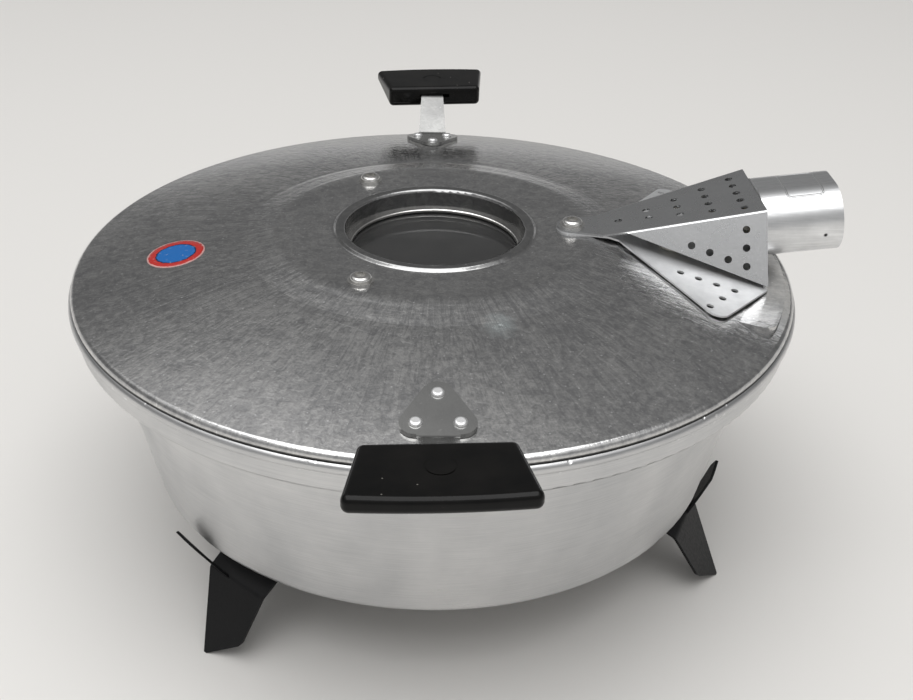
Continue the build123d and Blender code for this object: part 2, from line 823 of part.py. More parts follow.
def build_lower_shield():
    low = lower_shield_z
    path = Polyline(
        (fixing_circle - tab_r, flat_z),
        (lower_bend_x, flat_z),
        (lower_slope_x, low(lower_slope_x)),
        (flap_foot_x, low(flap_foot_x)),
    )
    side = sheet_section(path, shield_sheet, Side.LEFT)
    blank = extrude(Plane.XZ * side, 2 * flap_foot_y, both=True)
    tab = Pos(fixing_circle, 0) * Circle(tab_r)
    outline = make_face(
        Polyline(
            (fixing_circle, -tab_r),
            (lower_root_x, -lower_root_y),
            (flap_foot_x, -flap_foot_y),
            (flap_foot_x, flap_foot_y),
            (lower_root_x, lower_root_y),
            (fixing_circle, tab_r),
            close=True,
        )
    )
    shield = blank & extrude(tab + outline, 2 * roll_z)
    tip_z = dome_z(hypot(lower_tip_x, lower_tip_y)) + lower_tip_lift
    cuts = [rod(fixing_shank_r + fit_gap, 0, 2 * roll_z, fixing_circle)]
    for side in (-1, 1):
        root = (lower_root_x, side * lower_root_y, low(lower_root_x))
        foot = (flap_foot_x, side * flap_foot_y, low(flap_foot_x))
        tip = (lower_tip_x, side * lower_tip_y, tip_z)
        plan = make_face(Polyline(*[corner[:2] for corner in (root, foot, tip)], close=True))
        plan = fillet(plan.vertices().sort_by_distance(tip[:2])[0], lower_tip_round)
        wing = draped_piece([root, foot, tip], shield_sheet) & extrude(plan, 2 * roll_z)
        shield += wing
        cuts += edge_holes(
            foot, root, tip, wing_hole_inset, wing_hole_rise, wing_hole_pitch, wing_hole_climb
        )
        hole_top = shield_z(terminal_x) - cut_reach
        cuts.append(rod(bush_r + fit_gap, 0, hole_top, terminal_x, side * terminal_y))
    return shield - cuts


def build_inlet_plate():
    """Upright plate that closes the end between the two shields, with a slot for the pins."""
    top_z = shield_z(shield_end_x - inlet_plate_sheet) - shield_sheet * hypot(1, shield_slope) - fit_gap
    low_z = lower_shield_z(shield_end_x) + shield_sheet + body_gap
    end_z = shield_z(shield_end_x)
    lean = (flap_foot_y - shield_end_y) / (end_z - flap_foot_z)
    spread = (shield_end_y - fold_start_y) / (shield_end_x - fold_start_x)
    inset = shield_sheet * sqrt(1 + lean ** 2 + spread ** 2) + body_gap + spread * inlet_plate_sheet
    top_y = shield_end_y + lean * (end_z - top_z) - inset
    low_y = shield_end_y + lean * (end_z - flap_foot_z) - inset
    plate = make_face(
        Polyline((-top_y, top_z), (top_y, top_z), (low_y, low_z), (-low_y, low_z), close=True)
    )
    axis_z = inlet_origin.Z - (inlet_end_x - shield_end_x) * tan(radians(inlet_tilt))
    slot_width = 2 * (inlet_half_flat + inlet_round - inlet_plate_ledge)
    plate -= Pos(0, axis_z) * SlotOverall(slot_width, 2 * (pin_r + pin_slot_play))
    return extrude(Plane.YZ.offset(shield_end_x) * plate, -inlet_plate_sheet)


def build_inlet():
    width = 2 * (inlet_half_flat + inlet_round)
    height = 2 * inlet_round
    outer = SlotOverall(width, height)
    inner = SlotOverall(width - 2 * inlet_sheet, height - 2 * inlet_sheet)
    block = SlotOverall(width - 2 * inlet_sheet - 2 * fit_gap, height - 2 * inlet_sheet - 2 * fit_gap)
    seat = inlet_plane.offset(-inlet_length)
    shroud = extrude(inlet_plane * (outer - inner), -inlet_length - inlet_round)
    shroud = split(shroud, Plane.YZ.offset(shield_end_x + fit_gap), keep=Keep.TOP)
    insulator = extrude(seat * block, insulator_length)
    pins = []
    tail = inlet_plate_sheet + pin_tail
    for side in (-1, 1):
        spot = Pos(side * pin_pitch / 2, 0)
        front = inlet_length - pin_recess - insulator_length
        pin = Pos(0, 0, tail + insulator_length) * extrude(Circle(pin_r), front)
        pin = fillet(pin.edges().group_by(Axis.Z)[-1], pin_tip_round)
        pin += extrude(Circle(pin_shank_r), tail + insulator_length)
        pins.append(inlet_plane.offset(-inlet_length - tail) * spot * pin)
        bore = extrude(seat * spot * Circle(pin_shank_r + fit_gap / 2), insulator_length)
        insulator -= bore
    return {
        "inlet_shroud": shroud,
        "inlet_plate": build_inlet_plate(),
        "inlet_insulator": insulator,
        "contact_pins": Compound(pins),
    }


def build_connector():
    nodes = {"upper_shield": build_upper_shield(), "lower_shield": build_lower_shield()}
    nodes.update(build_inlet())
    return nodes


nodes = {}
for build in (
    build_stand,
    build_pan,
    build_lid,
    build_window,
    build_fixings,
    build_reflector,
    build_element,
    build_guard,
    build_terminals,
    build_handles,
    build_connector,
):
    nodes.update(build())

for name, piece in nodes.items():
    export_step(piece, f"parts/{name}.step")
    print(name, len(piece.solids()), round(piece.volume, 1), piece.is_valid)
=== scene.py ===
import bpy
from math import cos, pi, radians, sin, sqrt, tau
from mathutils import Matrix, Vector


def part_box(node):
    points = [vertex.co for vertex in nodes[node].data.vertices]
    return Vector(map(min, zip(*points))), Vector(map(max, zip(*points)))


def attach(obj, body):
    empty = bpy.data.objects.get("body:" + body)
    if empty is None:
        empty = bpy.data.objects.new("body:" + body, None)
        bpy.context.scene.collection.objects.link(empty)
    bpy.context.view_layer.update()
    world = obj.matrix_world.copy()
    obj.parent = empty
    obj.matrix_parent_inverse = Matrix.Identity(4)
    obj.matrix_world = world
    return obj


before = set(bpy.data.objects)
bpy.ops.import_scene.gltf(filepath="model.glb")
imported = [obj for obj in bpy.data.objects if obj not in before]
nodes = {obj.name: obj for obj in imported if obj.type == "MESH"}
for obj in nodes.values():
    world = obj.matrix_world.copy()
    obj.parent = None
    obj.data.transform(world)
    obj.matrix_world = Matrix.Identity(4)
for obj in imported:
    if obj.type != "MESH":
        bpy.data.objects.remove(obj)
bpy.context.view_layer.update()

MM = 0.001

# Camera: place and aim in the row frame, and focal length in pixels of the 913 x 700 frame.
CAMERA_PLACE = Vector((-6.7, -458.1, 350.7)) * MM
CAMERA_PITCH = radians(30.41)
CAMERA_YAW = radians(2.13)
CAMERA_ROLL = radians(1.45)
FOCAL_PIXELS = 1197.9
IMAGE_WIDTH = 913
SENSOR_WIDTH = 36.0

# Light: one large soft box overhead in a room that is dim at eye level and lighter higher up.
BOX_PLACE = Vector((-0.2, -0.6, 2.2))
BOX_SIZE = 2.4
BOX_RADIANCE = 2.0
ROOM_FRONT = 0.40
ROOM_BACK = 0.19
ROOM_TURN = (-0.5, 0.2)
UPPER_LIGHT = 0.90
UPPER_DARK = 0.27
UPPER_SIDE = Vector((0.5, 0.87, 0.0))
UPPER_TURN = (0.10, 0.65)
UPPER_START = (0.45, 0.80)
HORIZON_LEVEL = 0.62
HORIZON_END = (0.02, 0.16)
FLOOR_SIZE = 30.0
FLOOR_COLOR = (0.76, 0.745, 0.72)

# Profile of the lid: its heights follow from the lid's lowest point in the frame.
lid_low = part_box("lid_shell")[0]
DOME_RADIUS = 725 * MM
DOME_TOP = lid_low.z + 18 * MM
DOME_START = 80 * MM
DOME_END = 143.4 * MM
HEM_RADIUS = 148.8 * MM
HEM_CENTRE = (146.2 * MM, lid_low.z + 0.48 * MM)
HEM_START = 146.71 * MM
# Width of the ring of painted shade on the pan's rim, under the lid's hem.
SEAT_SHADE_WIDTH = 0.9 * MM
NEAR_SURFACE = 0.15 * MM

# Radii on the lid, in millimetres, between which streaks, rings and the painted shade on the window's lip
# fade in and out.
STREAKS_IN = (60.0, 68.0)
STREAKS_OUT = (135.0, 98.0)
RINGS_IN = (60.0, 68.0)
RINGS_OUT = (92.0, 78.0)
LIP_SHADE_IN = (36.0, 37.5)
LIP_SHADE_OUT = (43.5, 41.5)

# Profile of the pan's rolled rim, band and shoulder, from the pan's highest point and edge in the frame.
pan_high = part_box("pan")[1]
BEAD_RADIUS = 2.5 * MM
BEAD_CENTRE = (pan_high.x - BEAD_RADIUS, pan_high.z - BEAD_RADIUS)
BAND_RADIUS = 148.0 * MM
BAND_TOP = BEAD_CENTRE[1] - 1.6 * MM
SHOULDER_CENTRE = (BAND_RADIUS - 2.5 * MM, BEAD_CENTRE[1] - 8.16 * MM)
CORNER_DROP = 2.6 * MM
WORN_TURN = radians(-56.0)
NICKS_ACROSS = (146.5, 148.0)
NICKS_UP = (117.0, 119.5)

# The inlet shroud: middle of its open end, direction of its axis, and marks on it measured from that point.
SHROUD_END = Vector((165.3, 0.0, 151.3)) * MM
SHROUD_AXIS = Vector((cos(radians(7.0)), 0.0, sin(radians(7.0))))
FRAME_CENTRE = (-13.8 * MM, -1.5 * MM)
FRAME_HALF = (7.3 * MM, 10.0 * MM)
FRAME_CORNER = 1.6 * MM
FRAME_LINE = 0.45 * MM
FRAME_LOWEST = 5.0 * MM
PIT_PLACE = Vector((158.4, -19.0, 148.0)) * MM
PIT_RADIUS = 0.9 * MM

# Marks on the lid, placed in the row frame: the sticker, and a stain with a dent in its middle.
STICKER_CENTRE = Vector((-105.6, -14.8)) * MM
STICKER_RADIUS = 11.7 * MM
STICKER_LIFT = 0.12 * MM
STAIN_CENTRE = Vector((23.2, -78.9)) * MM
STAIN_RADIUS = 7.5 * MM


class Shader:
    """A material built round one Principled shader, with short names for the nodes it uses."""

    def __init__(self, name, color, roughness, metallic=0.0, **sockets):
        self.material = bpy.data.materials.new(name)
        self.material.use_nodes = True
        self.tree = self.material.node_tree
        self.surface = self.tree.nodes["Principled BSDF"]
        self.set(Roughness=roughness, Metallic=metallic, **sockets)
        self.set(**{"Base Color": (*color, 1.0)})
        self.place = self.node("ShaderNodeTexCoord").outputs["Object"]

    def set(self, **sockets):
        for name, value in sockets.items():
            self.plug(self.surface.inputs[name.replace("_", " ")], value)

    def plug(self, socket, value):
        if isinstance(value, bpy.types.NodeSocket):
            self.tree.links.new(value, socket)
        else:
            socket.default_value = value

    def node(self, kind, inputs=(), **properties):
        made = self.tree.nodes.new(kind)
        for name, value in properties.items():
            setattr(made, name, value)
        for key, value in dict(inputs).items():
            self.plug(made.inputs[key], value)
        return made

    def math(self, operation, a, b=0.0, c=0.0, clamp=False):
        made = self.node("ShaderNodeMath", {0: a, 1: b, 2: c}, operation=operation, use_clamp=clamp)
        return made.outputs[0]

    def vector(self, operation, a, b=(0.0, 0.0, 0.0)):
        made = self.node("ShaderNodeVectorMath", {0: a, 1: b}, operation=operation)
        name = "Value" if operation in ("LENGTH", "DISTANCE", "DOT_PRODUCT") else "Vector"
        return made.outputs[name]

    def scaled(self, vector, factors):
        return self.vector("MULTIPLY", vector, factors)

    def noise(self, vector, scale=1.0, detail=2.0, roughness=0.5, distortion=0.0):
        inputs = {
            "Vector": vector,
            "Scale": scale,
            "Detail": detail,
            "Roughness": roughness,
            "Distortion": distortion,
        }
        return self.node("ShaderNodeTexNoise", inputs).outputs["Fac"]

    def cells(self, vector, scale, dimensions="3D"):
        inputs = {"Vector": vector, "Scale": scale}
        return self.node("ShaderNodeTexVoronoi", inputs, voronoi_dimensions=dimensions).outputs

    def remap(self, value, low, high, to_low=0.0, to_high=1.0):
        inputs = {0: value, 1: low, 2: high, 3: to_low, 4: to_high}
        return self.node("ShaderNodeMapRange", inputs).outputs[0]

    def swing(self, value, share):
        """A noise turned into a number between minus and plus a share."""
        return self.remap(value, 0.3, 0.7, -share, share)

    def mix(self, factor, a, b):
        made = self.node("ShaderNodeMix", data_type="RGBA")
        self.plug(made.inputs[0], factor)
        self.plug(made.inputs[6], a if isinstance(a, bpy.types.NodeSocket) else (*a, 1.0))
        self.plug(made.inputs[7], b if isinstance(b, bpy.types.NodeSocket) else (*b, 1.0))
        return made.outputs[2]

    def bump(self, height, distance, strength=1.0, under=None):
        inputs = {"Height": height, "Distance": distance, "Strength": strength}
        if under is not None:
            inputs["Normal"] = under
        return self.node("ShaderNodeBump", inputs).outputs["Normal"]

    def polar(self):
        """Direction from the axis as a flat unit vector, and distance from it in millimetres."""
        flat = self.scaled(self.place, (1.0, 1.0, 0.0))
        distance = self.math("MULTIPLY", self.vector("LENGTH", flat), 1000.0)
        return self.vector("NORMALIZE", flat), distance

    def between(self, value, low, high):
        """1 where a value lies between two levels, and 0 elsewhere."""
        above = self.math("GREATER_THAN", value, low)
        return self.math("MULTIPLY", above, self.math("LESS_THAN", value, high))

    def profile(self):
        """Distance from the axis and height above the table, in metres."""
        flat = self.scaled(self.place, (1.0, 1.0, 0.0))
        up = self.node("ShaderNodeSeparateXYZ", {0: self.place}).outputs["Z"]
        return self.vector("LENGTH", flat), up

    def leaning(self, outward, upward):
        """Direction made of an outward and an upward share."""
        out = self.vector("NORMALIZE", self.scaled(self.place, (1.0, 1.0, 0.0)))
        turned = self.node("ShaderNodeVectorMath", {0: out, 3: outward}, operation="SCALE").outputs[0]
        raised = self.node("ShaderNodeCombineXYZ", {"Z": upward}).outputs[0]
        return self.vector("NORMALIZE", self.vector("ADD", turned, raised))

    def away_from(self, centre):
        """Direction away from a circle about the axis, given by its radius and height."""
        across, up = self.profile()
        return self.leaning(self.math("SUBTRACT", across, centre[0]), self.math("SUBTRACT", up, centre[1]))

    def smooth_normal(self, *parts):
        """The mesh's normal, replaced by an exact direction where a part's shape is known."""
        result = seen = self.node("ShaderNodeNewGeometry").outputs["Normal"]
        for direction, share in parts:
            turned = self.node("ShaderNodeVectorTransform", {0: direction})
            turned.vector_type = "NORMAL"
            turned.convert_from = "OBJECT"
            turned.convert_to = "WORLD"
            agrees = self.math("GREATER_THAN", self.vector("DOT_PRODUCT", seen, turned.outputs[0]), 0.5)
            chosen = self.node("ShaderNodeMix", data_type="VECTOR")
            self.plug(chosen.inputs[0], self.math("MULTIPLY", share, agrees))
            self.plug(chosen.inputs[4], result)
            self.plug(chosen.inputs[5], turned.outputs[0])
            result = chosen.outputs[1]
        return result

    def height(self):
        """Height above the table in millimetres."""
        split = self.node("ShaderNodeSeparateXYZ", {0: self.place})
        return self.math("MULTIPLY", split.outputs["Z"], 1000.0)

    def joined(self, direction, around, along, stretch):
        """Seamless pattern space: `around` cells per radian, and a length stretched along."""
        third = self.node("ShaderNodeCombineXYZ", {"Z": self.math("MULTIPLY", along, stretch)})
        turned = self.scaled(direction, (around, around, 0.0))
        return self.vector("ADD", turned, third.outputs[0])

    def scratches(self, turn, scale, cut):
        """Fine straight lines in one direction, 1 on a line."""
        mapping = self.node("ShaderNodeMapping", {"Vector": self.place, "Rotation": (0, 0, turn)})
        stretched = self.scaled(mapping.outputs[0], (scale, scale / 45.0, scale))
        return self.remap(self.noise(stretched, detail=1.0), cut, cut + 0.03)

    def specks(self, scale, size, share, dimensions="2D"):
        """Small round spots in a share of the cells, 1 on a spot."""
        cell = self.cells(self.place, scale, dimensions)
        drawn = self.node("ShaderNodeSeparateXYZ", {0: cell["Color"]}).outputs[0]
        chosen = self.math("LESS_THAN", drawn, share)
        spot = self.remap(cell["Distance"], size, size * 0.5)
        return self.math("MULTIPLY", spot, chosen)

    def stain(self):
        """A soft-edged stain on the lid and the small dent in its middle, 1 at the centre."""
        flat = self.scaled(self.place, (1.0, 1.0, 0.0))
        out = self.vector("DISTANCE", flat, (STAIN_CENTRE.x, STAIN_CENTRE.y, 0.0))
        out = self.math("DIVIDE", out, STAIN_RADIUS)
        edge = self.noise(self.place, scale=220.0, detail=3.0)
        ragged = self.math("ADD", out, self.swing(edge, 0.3))
        return self.remap(ragged, 1.0, 0.2), self.remap(out, 0.16, 0.02)


def assign(material, *names):
    """Put one material on the meshes of some nodes."""
    for name in names:
        mesh = nodes[name].data
        mesh.materials.clear()
        mesh.materials.append(material)


def lid_metal():
    """Spun and polished aluminium: a mottled tone streaked outwards, partly wear and partly painted
    reflection, with scratches, dust, a stain, a dent, painted shade on the window's lip and painted shade
    under the hem.
    """
    s = Shader("lid_aluminium", (0.6, 0.6, 0.6), 0.18, metallic=1.0)
    direction, distance = s.polar()
    sway = s.noise(s.place, scale=22.0, detail=2.0)
    swayed = s.math("ADD", distance, s.math("MULTIPLY", sway, 70.0))
    streak_space = s.joined(direction, 52.0, swayed, 0.10)
    streak = s.noise(streak_space, detail=4.0, roughness=0.6, distortion=1.3)
    near = s.math("MULTIPLY", s.remap(distance, *STREAKS_OUT, 0.55, 1.0), s.remap(distance, *STREAKS_IN))
    mottle = s.noise(s.place, scale=300.0, detail=4.0, roughness=0.62, distortion=0.6)
    grain = s.noise(s.place, scale=1000.0, detail=3.0, roughness=0.6)
    broad = s.noise(s.place, scale=26.0, detail=4.0, roughness=0.6, distortion=0.8)
    # The streaks and mottle are partly the lid's own wear and partly painted reflection; they also set the
    # roughness.
    tone = s.math("MULTIPLY", s.swing(streak, 0.9), near)
    for pattern, share in ((grain, 0.5), (mottle, 0.8), (broad, 0.5)):
        tone = s.math("ADD", tone, s.swing(pattern, share))
    color = s.mix(s.remap(tone, -1.0, 1.0), (0.44, 0.44, 0.445), (0.69, 0.685, 0.675))
    lines = s.math("MAXIMUM", s.scratches(0.6, 1500.0, 0.735), s.scratches(2.1, 1700.0, 0.74))
    dust = s.math("MAXIMUM", s.specks(110.0, 0.05, 0.45), s.specks(230.0, 0.07, 0.22))
    color = s.mix(s.math("MULTIPLY", lines, 0.40), color, (0.90, 0.90, 0.90))
    color = s.mix(s.math("MULTIPLY", dust, 0.75), color, (0.97, 0.97, 0.97))
    stain, dent = s.stain()
    color = s.mix(s.math("MULTIPLY", stain, 0.80), color, (0.78, 0.84, 0.84))
    # Painted shade: a dark ring on the window's lip that dims the highlights on it.
    lip_shade = s.math("MULTIPLY", s.remap(distance, *LIP_SHADE_IN), s.remap(distance, *LIP_SHADE_OUT))
    color = s.mix(s.math("MULTIPLY", lip_shade, 0.55), color, (0.16, 0.16, 0.16))
    across, up = s.profile()
    # Painted shade: the lid's lowest edge, where it sits on the pan, is darkened almost to black.
    under_hem = s.between(up, 0.0, HEM_CENTRE[1])
    color = s.mix(s.math("MULTIPLY", under_hem, 0.85), color, (0.03, 0.03, 0.03))
    ring = s.noise(s.joined(direction, 1.2, distance, 0.24), detail=2.0)
    step = s.math("MULTIPLY", s.remap(distance, *RINGS_IN), s.remap(distance, *RINGS_OUT))
    bump = s.bump(mottle, 0.10 * MM, under=lid_normal(s, across, up, under_hem))
    bump = s.bump(s.math("MULTIPLY", streak, near), 0.10 * MM, under=bump)
    bump = s.bump(s.math("MULTIPLY", ring, step), 0.16 * MM, under=bump)
    bump = s.bump(dent, -0.10 * MM, under=bump)
    rough = s.math("ADD", s.remap(tone, -1.0, 1.0, 0.13, 0.21), s.math("MULTIPLY", stain, 0.10))
    s.set(Base_Color=color, Roughness=rough, Normal=bump)
    return s.material


def lid_normal(s, across, up, under_hem):
    """Exact directions of the lid's dome, the slope at its edge, the hem and the hem's upright edge."""
    centre = DOME_TOP - DOME_RADIUS
    reach = s.vector("LENGTH", s.vector("SUBTRACT", s.place, (0.0, 0.0, centre)))
    on_dome = s.between(reach, DOME_RADIUS - NEAR_SURFACE, DOME_RADIUS + NEAR_SURFACE)
    on_dome = s.math("MULTIPLY", on_dome, s.between(across, DOME_START, DOME_END))
    dome = (s.leaning(across, s.math("SUBTRACT", up, centre)), on_dome)
    slant = (s.leaning(DOME_END, DOME_RADIUS), s.between(across, DOME_END, HEM_START))
    past_start = s.math("GREATER_THAN", across, HEM_START)
    on_hem = s.math("MULTIPLY", past_start, s.math("GREATER_THAN", up, HEM_CENTRE[1]))
    hem = (s.away_from(HEM_CENTRE), on_hem)
    edge = (s.leaning(1.0, 0.0), under_hem)
    return s.smooth_normal(dome, slant, hem, edge)


def pan_metal():
    """Satin spun aluminium: fine lines round the wall, cloudy tone, small nicks on the rolled rim, and a
    ring of painted shade where the lid's hem sits on the rim.
    """
    s = Shader("pan_aluminium", (0.6, 0.6, 0.6), 0.32, metallic=1.0, Anisotropic=0.45)
    s.set(Tangent=s.node("ShaderNodeTangent", direction_type="RADIAL", axis="Z").outputs[0])
    direction, distance = s.polar()
    height = s.height()
    lines = s.noise(s.joined(direction, 6.0, height, 3.5), detail=4.0, roughness=0.7)
    cloud = s.noise(s.place, scale=30.0, detail=4.0, roughness=0.6)
    bands = s.noise(s.joined(direction, 3.2, height, 0.012), detail=2.0)
    tone = s.math("ADD", s.swing(lines, 0.35), s.swing(cloud, 0.3))
    tone = s.math("ADD", tone, s.swing(bands, 0.4))
    color = s.mix(s.remap(tone, -0.9, 0.9), (0.44, 0.447, 0.455), (0.73, 0.725, 0.72))
    rough = s.remap(tone, -0.9, 0.9, 0.36, 0.26)
    rim = s.math("MULTIPLY", s.remap(distance, *NICKS_ACROSS), s.remap(height, *NICKS_UP))
    nick = s.math("MULTIPLY", s.specks(330.0, 0.30, 0.22, "3D"), rim)
    turned = s.vector("DOT_PRODUCT", direction, (cos(WORN_TURN), sin(WORN_TURN), 0.0))
    worn_spot = s.remap(turned, 0.990, 0.998)
    patch = s.math("MAXIMUM", s.remap(s.noise(s.place, scale=24.0), 0.50, 0.62), worn_spot)
    nick = s.math("MULTIPLY", nick, patch)
    color = s.mix(s.math("MULTIPLY", nick, 0.8), color, (0.93, 0.93, 0.93))
    across, up = s.profile()
    above_band = s.math("GREATER_THAN", up, BAND_TOP)
    # Painted shade: a thin near-black ring on the rolled rim where the lid's hem rests on it.
    seat_shade = s.math("MULTIPLY", s.between(across, HEM_RADIUS - SEAT_SHADE_WIDTH, HEM_RADIUS), above_band)
    color = s.mix(s.math("MULTIPLY", seat_shade, 0.75), color, (0.03, 0.03, 0.03))
    bump = s.bump(lines, 0.04 * MM, under=pan_normal(s, across, up, above_band))
    bump = s.bump(nick, -0.15 * MM, under=bump)
    s.set(Base_Color=color, Roughness=rough, Normal=bump)
    return s.material


def pan_normal(s, across, up, above_band):
    """Exact directions of the pan's rolled rim, its upright band and the round corner under the band."""
    bead = (s.away_from(BEAD_CENTRE), above_band)
    band = (s.leaning(1.0, 0.0), s.between(up, SHOULDER_CENTRE[1], BAND_TOP))
    low = s.between(up, SHOULDER_CENTRE[1] - CORNER_DROP, SHOULDER_CENTRE[1])
    outside = s.math("GREATER_THAN", across, SHOULDER_CENTRE[0])
    corner = (s.away_from(SHOULDER_CENTRE), s.math("MULTIPLY", low, outside))
    return s.smooth_normal(bead, band, corner)


def plain_metal(name, dark, light, roughness, grain=900.0, metallic=1.0, worn=0.3):
    """Sheet metal with a cloudy tone, a fine grain and light rub marks."""
    s = Shader(name, light, roughness, metallic=metallic)
    cloud = s.noise(s.place, scale=70.0, detail=4.0, roughness=0.6)
    fine = s.noise(s.scaled(s.place, (grain, grain / 12.0, grain)), detail=2.0)
    lines = s.scratches(0.9, 2500.0, 0.74)
    color = s.mix(s.remap(cloud, 0.3, 0.7), dark, light)
    color = s.mix(s.math("MULTIPLY", lines, worn), color, (0.92, 0.92, 0.92))
    rough = s.remap(cloud, 0.3, 0.7, roughness + 0.05, roughness - 0.04)
    bump = s.bump(fine, 0.02 * MM)
    s.set(Base_Color=color, Roughness=rough, Normal=s.bump(lines, -0.01 * MM, under=bump))
    return s.material


def shroud_metal():
    """Drawn aluminium of the inlet shroud, with a bare raised frame and a small dark pit."""
    s = Shader("shroud_aluminium", (0.8, 0.8, 0.8), 0.34, metallic=1.0)
    place = s.vector("SUBTRACT", s.place, SHROUD_END)
    along = s.vector("DOT_PRODUCT", place, SHROUD_AXIS)
    split = s.node("ShaderNodeSeparateXYZ", {0: place})
    gaps = []
    for value, centre, half in zip((along, split.outputs["Y"]), FRAME_CENTRE, FRAME_HALF):
        offset = s.math("ABSOLUTE", s.math("SUBTRACT", value, centre))
        gap = s.math("MAXIMUM", s.math("SUBTRACT", offset, half - FRAME_CORNER), 0.0)
        gaps.append(s.math("MULTIPLY", gap, gap))
    outside = s.math("SUBTRACT", s.math("SQRT", s.math("ADD", *gaps)), FRAME_CORNER)
    line = s.remap(s.math("ABSOLUTE", outside), FRAME_LINE, FRAME_LINE * 0.3)
    line = s.math("MULTIPLY", line, s.math("GREATER_THAN", split.outputs["Z"], FRAME_LOWEST))
    pit = s.remap(s.vector("DISTANCE", s.place, PIT_PLACE), PIT_RADIUS, PIT_RADIUS * 0.4)
    drawn = s.noise(s.scaled(s.place, (60.0, 900.0, 900.0)), detail=3.0)
    cloud = s.noise(s.place, scale=90.0, detail=4.0, roughness=0.6)
    tone = s.math("ADD", s.swing(drawn, 0.5), s.swing(cloud, 0.5))
    color = s.mix(s.remap(tone, -0.8, 0.8), (0.62, 0.625, 0.63), (0.82, 0.825, 0.83))
    color = s.mix(s.math("MULTIPLY", line, 0.5), color, (0.93, 0.93, 0.93))
    color = s.mix(pit, color, (0.02, 0.02, 0.02))
    bump = s.bump(line, 0.3 * MM)
    bump = s.bump(pit, -0.4 * MM, under=bump)
    bump = s.bump(drawn, 0.03 * MM, under=bump)
    s.set(Base_Color=color, Roughness=s.remap(tone, -0.8, 0.8, 0.38, 0.28), Normal=bump)
    return s.material


def moulded_black():
    """Glossy black moulded plastic, with faint flow clouds, tiny dust specks and hairline marks."""
    s = Shader("black_bakelite", (0.006, 0.006, 0.006), 0.12, Specular_IOR_Level=0.18)
    cloud = s.noise(s.place, scale=90.0, detail=3.0)
    dust = s.specks(300.0, 0.10, 0.035)
    lines = s.scratches(1.3, 2400.0, 0.75)
    color = s.mix(s.remap(cloud, 0.3, 0.7), (0.003, 0.003, 0.003), (0.007, 0.0065, 0.006))
    color = s.mix(s.math("MULTIPLY", dust, 0.4), color, (0.35, 0.33, 0.30))
    rough = s.math("ADD", s.remap(cloud, 0.3, 0.7, 0.09, 0.16), s.math("MULTIPLY", lines, 0.12))
    s.set(Base_Color=color, Roughness=rough, Normal=s.bump(s.noise(s.place, scale=260.0), 0.03 * MM))
    return s.material


def black_paint():
    """Semi-gloss black paint with a slight orange peel and rubbed spots."""
    s = Shader("black_paint", (0.005, 0.005, 0.005), 0.42, Specular_IOR_Level=0.25)
    peel = s.noise(s.place, scale=900.0, detail=1.0)
    worn = s.remap(s.noise(s.place, scale=120.0, detail=5.0, roughness=0.7), 0.68, 0.76)
    color = s.mix(s.math("MULTIPLY", worn, 0.3), (0.004, 0.004, 0.0045), (0.05, 0.048, 0.046))
    s.set(Base_Color=color, Roughness=s.remap(peel, 0.3, 0.7, 0.36, 0.48), Normal=s.bump(peel, 0.04 * MM))
    return s.material


def window_glass():
    """Dark clear glass with faint haze from use."""
    s = Shader("window_glass", (0.42, 0.43, 0.43), 0.03, IOR=1.5, Transmission_Weight=0.95)
    haze = s.noise(s.place, scale=60.0, detail=4.0, roughness=0.6)
    s.set(Roughness=s.remap(haze, 0.35, 0.7, 0.02, 0.12))
    s.set(Base_Color=s.mix(haze, (0.34, 0.34, 0.34), (0.5, 0.5, 0.49)))
    return s.material


def soft_stuff(name, dark, light, roughness, scale, depth):
    """Ceramic, rubber or woven sleeve: mottled tone with a small relief."""
    s = Shader(name, light, roughness)
    grain = s.noise(s.place, scale=scale, detail=3.0)
    s.set(Base_Color=s.mix(grain, dark, light), Normal=s.bump(grain, depth))
    s.set(Roughness=s.remap(grain, 0.3, 0.7, roughness - 0.05, roughness + 0.08))
    return s.material


def sheath_metal():
    """Heat-darkened sheath of the element, with straw tints."""
    s = Shader("element_sheath", (0.2, 0.19, 0.18), 0.45, metallic=1.0)
    tint = s.noise(s.place, scale=40.0, detail=4.0)
    color = s.mix(s.remap(tint, 0.35, 0.65), (0.13, 0.12, 0.12), (0.34, 0.29, 0.24))
    s.set(Base_Color=color, Normal=s.bump(s.noise(s.place, scale=800.0), 0.03 * MM))
    return s.material


def sticker_film():
    """Round film with a plain red border, a dark line and a blue middle, slightly rubbed."""
    s = Shader("sticker_film", (0.7, 0.05, 0.05), 0.35, Specular_IOR_Level=0.25)
    centre = (STICKER_CENTRE.x, STICKER_CENTRE.y, 0.0)
    flat = s.scaled(s.place, (1.0, 1.0, 0.0))
    out = s.math("DIVIDE", s.vector("DISTANCE", flat, centre), STICKER_RADIUS)
    out = s.math("ADD", out, s.swing(s.noise(s.place, scale=700.0), 0.02))
    color = s.mix(s.math("GREATER_THAN", out, 0.66), (0.010, 0.12, 0.38), (0.008, 0.015, 0.05))
    color = s.mix(s.math("GREATER_THAN", out, 0.71), color, (0.42, 0.024, 0.020))
    color = s.mix(s.math("GREATER_THAN", out, 0.95), color, (0.62, 0.35, 0.33))
    rubbed = s.remap(s.noise(s.place, scale=500.0, detail=4.0, roughness=0.7), 0.60, 0.72, 0.0, 0.5)
    s.set(Base_Color=s.mix(rubbed, color, (0.55, 0.50, 0.48)))
    return s.material


def dome_height(x, y):
    """Height of the lid's dome above the table at a place on it."""
    return DOME_TOP - DOME_RADIUS + sqrt(DOME_RADIUS ** 2 - x * x - y * y)


def mesh_piece(name, points, faces, material, body):
    """A smooth shaded piece from points and faces, which moves with a body."""
    mesh = bpy.data.meshes.new(name)
    mesh.from_pydata(points, [], faces)
    mesh.update()
    mesh.materials.append(material)
    for polygon in mesh.polygons:
        polygon.use_smooth = True
    piece = bpy.data.objects.new(name, mesh)
    bpy.context.scene.collection.objects.link(piece)
    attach(piece, body)
    return piece


